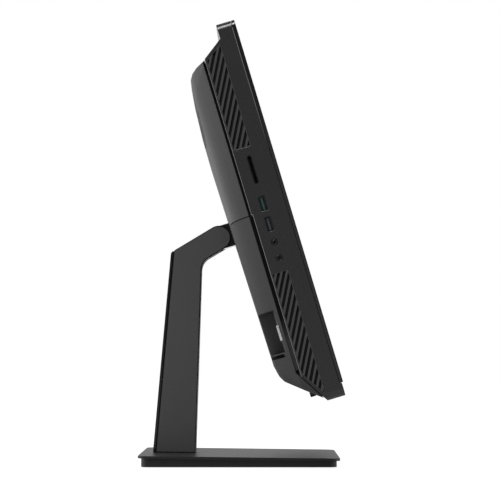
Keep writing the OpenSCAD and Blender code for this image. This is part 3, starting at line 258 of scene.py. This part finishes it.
# grain and scratch are sizes in millimetres, fade heights are millimetres above the floor
plastics = {
    # frame: an eroded tool's grain, black with a fine glint
    "shell_black": {"name": "grained ABS", "dark": "#242425", "light": "#282829", "rough": (0.2, 0.29),
                    "grain": 1.1, "relief": 0.15},
    # covers: a silky black with wide soft highlights
    "cover_black": {"name": "satin ABS", "dark": "#262627", "light": "#2a2a2b", "rough": (0.42, 0.54),
                    "grain": 1.3, "relief": 0.15, "shine": 0.38},
    # bezel, neck strip, hinge cover, button: a polished tool gives clear reflections on deep black
    "gloss_black": {"name": "polished ABS", "dark": "#101011", "light": "#131314", "rough": (0.12, 0.14),
                    "grain": 9.0, "relief": 0.012},
    # top of the foot: an even, dull charcoal
    "base_black": {"name": "dull ABS", "dark": "#2a2a2b", "light": "#323233", "rough": (0.34, 0.44),
                   "grain": 1.2, "relief": 0.12, "shine": 0.3},
    # sockets, speakers, blower: dense plastic with a faint sheen
    "socket_black": {"name": "moulded PBT", "dark": "#0c0c0d", "light": "#101011", "rough": (0.3, 0.4),
                     "grain": 0.8, "relief": 0.1},
    "socket_teal": {"name": "teal PBT", "dark": "#12403b", "light": "#174b46", "rough": (0.35, 0.45),
                    "grain": 0.8, "relief": 0.15},
    "socket_blue": {"name": "blue PBT", "dark": "#26343f", "light": "#2e3d49", "rough": (0.35, 0.45),
                    "grain": 0.8, "relief": 0.15},
    # light guide: cast smooth, milky white
    "diffuser": {"name": "acrylic sheet", "dark": "#dfe3e4", "light": "#e8ebec", "rough": (0.12, 0.2),
                 "grain": 3.0, "relief": 0.02},
    # feet and bumpers: a dusty skin without gloss
    "rubber": {"name": "moulded rubber", "dark": "#161616", "light": "#1c1c1c", "rough": (0.7, 0.85),
               "grain": 0.9, "relief": 0.3},
    # dust screens: open cells that swallow the light
    "foam": {"name": "open-cell foam", "dark": "#050505", "light": "#0b0b0b", "rough": (0.9, 1.0),
             "grain": 1.6, "relief": 1.0},
    # circuit boards: green lacquer that runs a little unevenly
    "board": {"name": "solder mask", "dark": "#10482e", "light": "#1a5c3b", "rough": (0.25, 0.4),
              "grain": 2.4, "relief": 0.3},
    # screen: an etched coat blurs what it mirrors
    "screen": {"name": "anti-glare screen", "dark": "#08080a", "light": "#0a0a0c", "rough": (0.28, 0.34),
               "grain": 0.9, "relief": 0.05},
    # neck and slats come from finer tools than the frame; their paler colour is painted light
    "neck": {"name": "fine-grained ABS", "dark": "#3f3f40", "light": "#444445", "rough": (0.4, 0.52),
             "grain": 1.0, "relief": 0.15},
    "slats": {"name": "smooth ABS", "dark": "#383839", "light": "#3d3d3e", "rough": (0.28, 0.36),
              "grain": 1.6, "relief": 0.08},
    # the frame's rounded edges take a pale colour, a painted highlight, and are smoother than the frame
    "edgeHighlight": {"name": "ABS with a painted edge highlight", "dark": "#666667", "light": "#727273", "rough": (0.2, 0.3),
               "grain": 1.6, "relief": 0.08},
    # beside the bezel the painted highlight shows only at the top and gives way to dark grey lower down
    "grip": {"name": "ABS with a fading painted highlight", "dark": "#666667", "light": "#727273", "rough": (0.2, 0.3),
             "grain": 1.6, "relief": 0.08, "fade": {"low": 292, "high": 338, "to": "#28282a"}},
    # the sides of the bezel: painted shade, nearly black at the top and greyer towards the foot
    "bezelSide": {"name": "ABS with painted shade", "dark": "#0c0c0d", "light": "#101011", "rough": (0.2, 0.29),
                  "grain": 1.1, "relief": 0.15, "fade": {"low": 285, "high": 345, "to": "#262627"}},
    # the rim of the foot is darker and smoother than its top
    "rim": {"name": "smooth black ABS", "dark": "#121213", "light": "#161617", "rough": (0.38, 0.48),
            "grain": 1.6, "relief": 0.06},
    # painted shade lines along edges, matt and nearly black
    "seam": {"name": "black ABS, painted shade line", "dark": "#0a0a0b", "light": "#0e0e0f", "rough": (0.6, 0.7),
             "grain": 1.2, "relief": 0.1, "shine": 0.15},
    # the floor of the groove between covers and frame is painted shade, matt too; towards the foot it turns
    # paler than the covers, a painted light
    "groove": {"name": "groove ABS, painted shade", "dark": "#0a0a0b", "light": "#0e0e0f", "rough": (0.6, 0.7),
               "grain": 1.2, "relief": 0.1, "shine": 0.15, "fade": {"low": 120, "high": 141, "to": "#434344"}},
    # the lower cover comes from a coarser tool than the upper one, so it is more matt; its paler colour is
    # painted light
    "lowerCover": {"name": "coarse-grained ABS", "dark": "#303031", "light": "#343435", "rough": (0.58, 0.68),
                   "grain": 1.5, "relief": 0.15, "shine": 0.36},
}
metals = {
    # plates, brackets, screws, shaft: a grey zinc coat that shows the rolling
    "steel": {"name": "zinc-plated steel", "dark": "#8d9092", "light": "#a9acae", "rough": (0.3, 0.45),
              "scratch": 0.6, "lay": (0.05, 1, 1)},
    # rear socket shells: bright plate that mirrors softly
    "bright_steel": {"name": "nickel plate", "dark": "#b9bbbd", "light": "#cdcfd0", "rough": (0.16, 0.28),
                     "scratch": 0.5, "lay": (0.1, 1, 1)},
    # rings and side bus shells: the same plate in smoky grey
    "dark_nickel": {"name": "black nickel plate", "dark": "#565758", "light": "#646566", "rough": (0.24, 0.36),
                    "scratch": 0.5, "lay": (0.1, 1, 1)},
    # fins, processor lid, hard drive: pale metal with upright tool marks
    "aluminium": {"name": "milled aluminium", "dark": "#b5b8bb", "light": "#c9cccf", "rough": (0.28, 0.4),
                  "scratch": 0.6, "lay": (1, 1, 0.05)},
    # heat pipe and cold plate: warm red with marks along the pipe
    "copper": {"name": "drawn copper", "dark": "#b56a43", "light": "#c97b52", "rough": (0.22, 0.36),
               "scratch": 0.8, "lay": (0.08, 1, 1)},
    # posts, washers, contacts: warm yellow with turning marks
    "brass": {"name": "turned brass", "dark": "#b8954f", "light": "#c9a75d", "rough": (0.24, 0.36),
              "scratch": 0.5, "lay": (1, 0.1, 1)},
    # network socket: tinned, with a painted highlight that swaps most of its mirror for a pale diffuse colour
    "tin": {"name": "tin plate with painted highlight", "dark": "#e2e3e4", "light": "#ececed", "rough": (0.4, 0.5),
            "scratch": 0.5, "lay": (0.1, 1, 1), "bloom": 0.9},
}
finish = {slot: mouldedPlastic(look) for slot, look in plastics.items()}
finish.update({slot: workedMetal(look) for slot, look in metals.items()})
# nodes whose finish differs from the others in their slot
ownFinish = {"base_tray": "rim", "neck_shell": "neck", "left_grilles": "slats", "right_grilles": "slats",
             "headphone_jack": "gloss_black", "microphone_jack": "gloss_black", "network_socket": "tin",
             "rear_cover_lower": "lowerCover"}
for name, node in nodes.items():
    node.data.materials.clear()
    node.data.materials.append(finish[ownFinish.get(name, slotOf[name])])
print("materials:", len(finish), "finishes on", len(nodes), "nodes")

# how the shells' meshes are treated: gaps in millimetres, angles in degrees
shellMesh = {"mergeGap": 0.01, "flatAngle": 0.6, "sharpAngle": 40, "bevelGap": 0.003, "smoothAngle": 35}
near = 0.02  # an edge this close to a face of the head lies on it, in millimetres
shells = []


def selectOnly(piece):
    bpy.ops.object.select_all(action="DESELECT")
    piece.select_set(True)
    bpy.context.view_layer.objects.active = piece


# a copy of a CAD node that stands for it: its triangles merged, and flat faces made whole
def mergedCopy(nodeName):
    words = nodeName.split("_")
    pieceName = words[0] + "".join(word.capitalize() for word in words[1:])
    source = nodes[nodeName]
    piece = bpy.data.objects.new(pieceName, source.data.copy())
    bpy.context.scene.collection.objects.link(piece)
    selectOnly(piece)
    bpy.ops.mesh.customdata_custom_splitnormals_clear()
    bpy.ops.object.mode_set(mode="EDIT")
    bpy.ops.mesh.select_all(action="SELECT")
    bpy.ops.mesh.remove_doubles(threshold=shellMesh["mergeGap"] * mm)
    bpy.ops.mesh.dissolve_limited(angle_limit=math.radians(shellMesh["flatAngle"]))
    bpy.ops.mesh.select_all(action="DESELECT")
    bpy.ops.object.mode_set(mode="OBJECT")
    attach(piece, source["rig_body"])
    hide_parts(nodeName)
    shells.append(piece)
    return piece


# rounds the edges whose two ends both pass the test, given as millimetres on the upright head,
# and gives the rounding a finish of its own; across says if edges from side to side count
def trimEdges(piece, test, edge, trim, across=True):
    piece.data.materials.append(finish[trim])
    places = [headBack @ vertex.co / mm for vertex in piece.data.vertices]
    bpy.context.tool_settings.mesh_select_mode = (False, True, False)
    for line in piece.data.edges:
        one, two = (places[index] for index in line.vertices)
        line.select = test(one) and test(two) and (across or one.x * two.x > 0)
    bpy.ops.object.mode_set(mode="EDIT")
    bpy.ops.mesh.bevel(offset=edge * mm, segments=4, affect="EDGES", clamp_overlap=False,
                       material=len(piece.data.materials) - 1)
    bpy.ops.object.mode_set(mode="OBJECT")


# eases all sharp edges that are left, so that they catch the light
def easeEdges(piece, edge, clamp=False):
    bevel = piece.modifiers.new("eased edges", "BEVEL")
    bevel.width = edge * mm
    bevel.segments = 2
    bevel.limit_method = "ANGLE"
    bevel.angle_limit = math.radians(shellMesh["sharpAngle"])
    bevel.use_clamp_overlap = clamp
    bpy.ops.object.modifier_apply(modifier=bevel.name)
    bpy.ops.object.mode_set(mode="EDIT")
    bpy.ops.mesh.select_all(action="SELECT")
    bpy.ops.mesh.remove_doubles(threshold=shellMesh["bevelGap"] * mm)
    bpy.ops.mesh.select_all(action="DESELECT")
    bpy.ops.object.mode_set(mode="OBJECT")
    bpy.ops.object.shade_smooth_by_angle(angle=math.radians(shellMesh["smoothAngle"]))
    weigh = piece.modifiers.new("flat faces stay flat", "WEIGHTED_NORMAL")
    weigh.keep_sharp = True
    bpy.ops.object.modifier_apply(modifier=weigh.name)


# the frame: its edges beside the cover groove and the bezel are rounder than the rest;
# the rear edge steps at the hinge, where the upper cover starts
frameEdges = {"round": 0.55, "other": 0.3, "step": 178.5, "gripBack": 4.4}


def onHighlightedEdge(at):
    rear = head["rearUpper" if at.z > frameEdges["step"] else "rearLower"]
    return abs(at.x) > head["halfWide"] - near and (at.y < head["bezelBack"] + near or at.y > rear - near)


sideFrame = mergedCopy("side_frame")
# painted highlight on the frame's rounded edges; beside the bezel it fades out going down
trimEdges(sideFrame, onHighlightedEdge, frameEdges["round"], "edgeHighlight")
sideFrame.data.materials.append(finish["grip"])
for face in sideFrame.data.polygons:
    if face.material_index == 1 and (headBack @ face.center).y < frameEdges["gripBack"] * mm:
        face.material_index = 2
easeEdges(sideFrame, frameEdges["other"])

# the neck: a painted shade line runs round each side
neckEdges = {"halfWide": 20.0, "line": 0.9, "other": 0.3}
neckShell = mergedCopy("neck_shell")
trimEdges(neckShell, lambda at: abs(at.x) > neckEdges["halfWide"] - near, neckEdges["line"], "seam",
          across=False)
easeEdges(neckShell, neckEdges["other"])

# the bezel: polished in front, painted shade on its sides, with a painted shade line on the edge between them
bezelEdges = {"line": 0.8, "other": 0.3, "front": 0.5, "sideways": 0.99}
frontBezel = mergedCopy("front_bezel")
trimEdges(frontBezel, lambda at: abs(at.x) > head["halfWide"] - near and at.y < bezelEdges["front"],
          bezelEdges["line"], "seam")
easeEdges(frontBezel, bezelEdges["other"])
# the bezel's sides take the painted shade, greyer towards the foot
frontBezel.data.materials.append(finish["bezelSide"])
for face in frontBezel.data.polygons:
    if abs(face.normal.x) > bezelEdges["sideways"]:
        face.material_index = 2

# shells of one finish; the thin slats need the clamp
easedEdges = {"neck_back_strip": 0.4, "base_tray": 0.3, "hinge_cover": 0.4, "left_grilles": 0.3,
              "right_grilles": 0.3, "rest_bumpers": 0.4}
for nodeName, edge in easedEdges.items():
    easeEdges(mergedCopy(nodeName), edge, clamp="grilles" in nodeName)

# the foot's top plate: dark rim on its upright faces
basePlate = {"edge": 0.4, "upright": 0.6}
baseCover = mergedCopy("base_cover")
easeEdges(baseCover, basePlate["edge"])
baseCover.data.materials.append(finish["rim"])
for face in baseCover.data.polygons:
    face.material_index = int(abs(face.normal.z) < basePlate["upright"])

# the covers: painted shade on the floor of the groove beside the frame, which lies between two distances from
# the middle; the inner end wall of the socket recess is painted light, as pale as the neck
covers = {"edge": 0.4, "groove": (246.5, 248.5), "grooveFloor": 0.96, "recess": 150, "recessWall": -0.7}
for nodeName in ("rear_cover_upper", "rear_cover_lower"):
    cover = mergedCopy(nodeName)
    easeEdges(cover, covers["edge"])
    cover.data.materials.append(finish["groove"])
    cover.data.materials.append(finish["neck"])
    for face in cover.data.polygons:
        out = abs(face.center.x) / mm
        inGroove = covers["groove"][0] < out < covers["groove"][1]
        if inGroove and abs(face.normal.x) > covers["grooveFloor"]:
            face.material_index = 1
        elif nodeName == "rear_cover_lower" and out < covers["recess"] and face.normal.x < covers["recessWall"]:
            face.material_index = 2

# the rear sockets: plated outside and on the rim, with black plastic further in than the wall
rearSockets = {"nodes": ("network_socket", "rear_usb_pair", "video_socket"), "edge": 0.15, "wall": 0.3}
for nodeName in rearSockets["nodes"]:
    socket = mergedCopy(nodeName)
    easeEdges(socket, rearSockets["edge"])
    socket.data.materials.append(finish["socket_black"])
    corners = [headBack @ vertex.co / mm for vertex in socket.data.vertices]
    low = [min(corner[axis] for corner in corners) + rearSockets["wall"] for axis in range(3)]
    high = [max(corner[axis] for corner in corners) - rearSockets["wall"] for axis in range(3)]
    for face in socket.data.polygons:
        at = headBack @ face.center / mm
        face.material_index = int(all(low[axis] < at[axis] < high[axis] for axis in range(3)))
print("shells:", len(shells), "merged and eased")


# a new piece, made on the upright head, is laid into its place there with a finish and a body to ride on
def settle(piece, slot):
    piece.matrix_world = headPlace @ piece.matrix_world
    selectOnly(piece)
    bpy.ops.object.transform_apply(location=True, rotation=True, scale=True)
    bpy.ops.object.shade_smooth_by_angle(angle=math.radians(shellMesh["smoothAngle"]))
    piece.data.materials.clear()
    piece.data.materials.append(finish[slot])
    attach(piece, "head")


# a gilt bar from corner to corner, its edges eased, repeated a step apart
def contactRow(name, low, high, step, count):
    bpy.ops.object.select_all(action="DESELECT")
    bpy.ops.mesh.primitive_cube_add(size=1, location=(Vector(low) + Vector(high)) / 2 * mm)
    row = bpy.context.object
    row.name = name
    row.scale = (Vector(high) - Vector(low)) * mm
    bpy.ops.object.transform_apply(location=True, rotation=True, scale=True)
    bpy.ops.object.mode_set(mode="EDIT")
    bpy.ops.mesh.select_all(action="SELECT")
    bpy.ops.mesh.bevel(offset=0.05 * mm, segments=2, affect="EDGES")
    bpy.ops.object.mode_set(mode="OBJECT")
    repeat = row.modifiers.new("row", "ARRAY")
    repeat.use_relative_offset = False
    repeat.use_constant_offset = True
    repeat.constant_offset_displace = Vector(step) * mm
    repeat.count = count
    bpy.ops.object.modifier_apply(modifier=repeat.name)
    settle(row, "brass")


# a plated ring, pressed flatter along its axis
def flatRing(name, ring, place, turn, press):
    bpy.ops.object.select_all(action="DESELECT")
    bpy.ops.mesh.primitive_torus_add(
        major_radius=ring["radius"] * mm, minor_radius=ring["wire"] * mm, major_segments=40, minor_segments=10,
        location=Vector(place) * mm, rotation=[math.radians(angle) for angle in turn])
    piece = bpy.context.object
    piece.name = name
    bpy.ops.object.transform_apply(location=True, rotation=True, scale=True)
    bpy.ops.object.mode_set(mode="EDIT")
    bpy.ops.mesh.select_all(action="SELECT")
    bpy.ops.transform.resize(value=press, center_override=Vector(place) * mm)
    bpy.ops.object.mode_set(mode="OBJECT")
    settle(piece, "dark_nickel")


# side bus sockets: a row of contacts on the screen side of each tongue
busContacts = {"heights": {"upper": 185.8, "lower": 166.5}, "depth": 22.3, "thick": 0.16, "inset": 1.9,
               "long": 7.5, "wide": 1.0, "pitch": 2.5, "count": 4}
x = -head["halfWide"] + busContacts["inset"]
for level, height in busContacts["heights"].items():
    z = height - (busContacts["count"] - 1) / 2 * busContacts["pitch"] - busContacts["wide"] / 2
    contactRow(level + "BusContacts", (x, busContacts["depth"] - busContacts["thick"], z),
               (x + busContacts["long"], busContacts["depth"], z + busContacts["wide"]),
               (0, 0, busContacts["pitch"]), busContacts["count"])

# rear network socket: sprung wires under the roof of its mouth
netContacts = {"middle": -225.0, "depth": (33.0, 41.5), "height": (73.8, 74.1), "wide": 0.4, "pitch": 1.02,
               "count": 8}
x = netContacts["middle"] - (netContacts["count"] - 1) / 2 * netContacts["pitch"] - netContacts["wide"] / 2
contactRow("networkContacts", (x, netContacts["depth"][0], netContacts["height"][0]),
           (x + netContacts["wide"], netContacts["depth"][1], netContacts["height"][1]),
           (netContacts["pitch"], 0, 0), netContacts["count"])

# jacks: a ring lies around each bore
jackRing = {"heights": {"headphone": 149.7, "microphone": 135.0}, "radius": 2.15, "wire": 0.22, "inset": 0.3,
            "press": 0.7}
for jack, height in jackRing["heights"].items():
    flatRing(jack + "Ring", jackRing, (-head["halfWide"] + jackRing["inset"], head["portDepth"], height),
             (0, 90, 0), (jackRing["press"], 1, 1))

# camera above the screen: a domed lens, cut flat at its back, in a turned ring
webcam = {"height": 346.2, "lens": 1.7, "lensDepth": 0.62, "dome": 0.3, "lensBack": 0.7,
          "radius": 2.05, "wire": 0.3, "ringDepth": 0.5, "press": 0.6}
lensPlace = Vector((0, webcam["lensDepth"], webcam["height"])) * mm
bpy.ops.object.select_all(action="DESELECT")
bpy.ops.mesh.primitive_uv_sphere_add(segments=32, ring_count=16, radius=webcam["lens"] * mm, location=lensPlace)
lens = bpy.context.object
lens.name = "cameraLens"
bpy.ops.object.transform_apply(location=True, rotation=True, scale=True)
bpy.ops.object.mode_set(mode="EDIT")
bpy.ops.mesh.select_all(action="SELECT")
bpy.ops.transform.resize(value=(1, webcam["dome"], 1), center_override=lensPlace)
bpy.ops.mesh.bisect(plane_co=(0, webcam["lensBack"] * mm, 0), plane_no=(0, 1, 0), use_fill=True,
                    clear_outer=True, threshold=0.0001 * mm)  # the usual threshold is too coarse here
bpy.ops.object.mode_set(mode="OBJECT")
settle(lens, "screen")
flatRing("cameraRing", webcam, (0, webcam["ringDepth"], webcam["height"]), (90, 0, 0), (1, webcam["press"], 1))
print("details: contacts, jack rings, camera")
